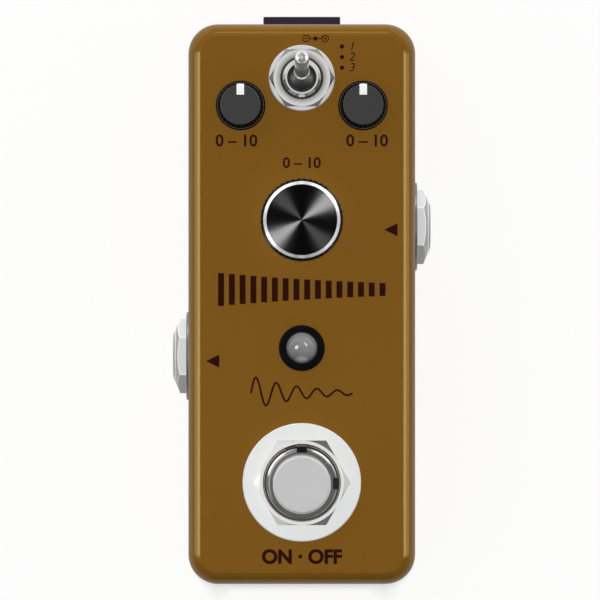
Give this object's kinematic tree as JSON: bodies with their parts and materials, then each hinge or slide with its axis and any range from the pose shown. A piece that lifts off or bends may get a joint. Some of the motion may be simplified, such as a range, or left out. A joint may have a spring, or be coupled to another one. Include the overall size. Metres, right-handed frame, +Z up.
{
  "type": "tape echo pedal",
  "caption": "Mini floor effect pedal: bronze die-cast box with knobs, a toggle, a lamp and a footswitch on top, jacks in its sides and a power socket at the rear.",
  "frame": {"origin": "on the floor, under the middle of the box", "axes": "+Z up, +Y towards the rear edge with the power socket, +X towards the input jack"},
  "size_m": [0.0438, 0.0955, 0.052],
  "materials": {
    "bronze_paint": "glossy bronze paint over die-cast metal",
    "black_anodised": "black anodised, face spun and edge cut bright",
    "bright_nickel": "polished nickel plate",
    "zinc_steel": "zinc-plated steel",
    "pale_washer": "pale matt washer",
    "button_metal": "matt nickel, flat top",
    "black_plastic": "moulded black plastic",
    "knob_plastic": "dark grey moulded plastic",
    "white_inlay": "white moulded inlay",
    "core_plastic": "natural nylon",
    "clear_lens": "water-clear epoxy",
    "board_laminate": "green solder mask on glass laminate",
    "tinned_brass": "tinned contact metal",
    "can_aluminium": "sleeved aluminium can",
    "pad_rubber": "ribbed black rubber"
  },
  "bodies": {
    "pedal": {"enclosure": "bronze_paint", "base_plate": "bronze_paint", "base_pad": "pad_rubber", "base_screws": "zinc_steel", "toggle_lock_washer": "zinc_steel", "footswitch_inner_nut": "zinc_steel", "footswitch_lock_washer": "zinc_steel", "footswitch_spring": "zinc_steel", "toggle_frame": "bright_nickel", "toggle_nut": "bright_nickel", "toggle_washer": "bright_nickel", "footswitch_bush": "bright_nickel", "footswitch_nut": "bright_nickel", "input_jack_bush": "bright_nickel", "input_jack_nut": "bright_nickel", "input_jack_washer": "bright_nickel", "output_jack_bush": "bright_nickel", "output_jack_nut": "bright_nickel", "output_jack_washer": "bright_nickel", "footswitch_washer": "pale_washer", "time_pot_body": "black_plastic", "level_pot_body": "black_plastic", "regen_pot_body": "black_plastic", "toggle_body": "black_plastic", "led_bezel": "black_plastic", "footswitch_body": "black_plastic", "input_jack_body": "black_plastic", "output_jack_body": "black_plastic", "power_socket": "black_plastic", "link_header": "black_plastic", "echo_chips": "black_plastic", "led_lens": "clear_lens", "main_board": "board_laminate", "switch_board": "board_laminate", "pot_terminals": "tinned_brass", "toggle_terminals": "tinned_brass", "led_leads": "tinned_brass", "footswitch_lugs": "tinned_brass", "link_pins": "tinned_brass", "power_pin": "tinned_brass", "power_terminals": "tinned_brass", "input_jack_contacts": "tinned_brass", "output_jack_contacts": "tinned_brass", "filter_capacitors": "can_aluminium"},
    "time_control": {"time_pot_shaft": "zinc_steel", "time_knob": "black_anodised", "time_knob_core": "core_plastic"},
    "level_control": {"level_pot_shaft": "zinc_steel", "level_knob": "knob_plastic", "level_pointer": "white_inlay"},
    "regen_control": {"regen_pot_shaft": "zinc_steel", "regen_knob": "knob_plastic", "regen_pointer": "white_inlay"},
    "toggle": {"toggle_lever": "bright_nickel"},
    "plunger": {"footswitch_button": "button_metal"}
  },
  "joints": [
    {"name": "time_turn", "type": "hinge", "parent": "pedal", "child": "time_control", "pos_m": [0, 0.014, 0.034], "axis": [0, 0, 1], "range_deg": [-140, 140]},
    {"name": "level_turn", "type": "hinge", "parent": "pedal", "child": "level_control", "pos_m": [-0.01022, 0.0332, 0.034], "axis": [0, 0, 1], "range_deg": [-140, 140]},
    {"name": "regen_turn", "type": "hinge", "parent": "pedal", "child": "regen_control", "pos_m": [0.01022, 0.0332, 0.034], "axis": [0, 0, 1], "range_deg": [-140, 140]},
    {"name": "toggle_tilt", "type": "hinge", "parent": "pedal", "child": "toggle", "pos_m": [0, 0.0378, 0.03476], "axis": [1, 0, 0], "range_deg": [0, 26]},
    {"name": "footswitch_press", "type": "slide", "parent": "pedal", "child": "plunger", "axis": [0, 0, -1], "range_m": [0, 0.0026], "stiffness_N_per_m": 1500, "springref_m": -0.003, "deforming": ["footswitch_spring"]}
  ]
}
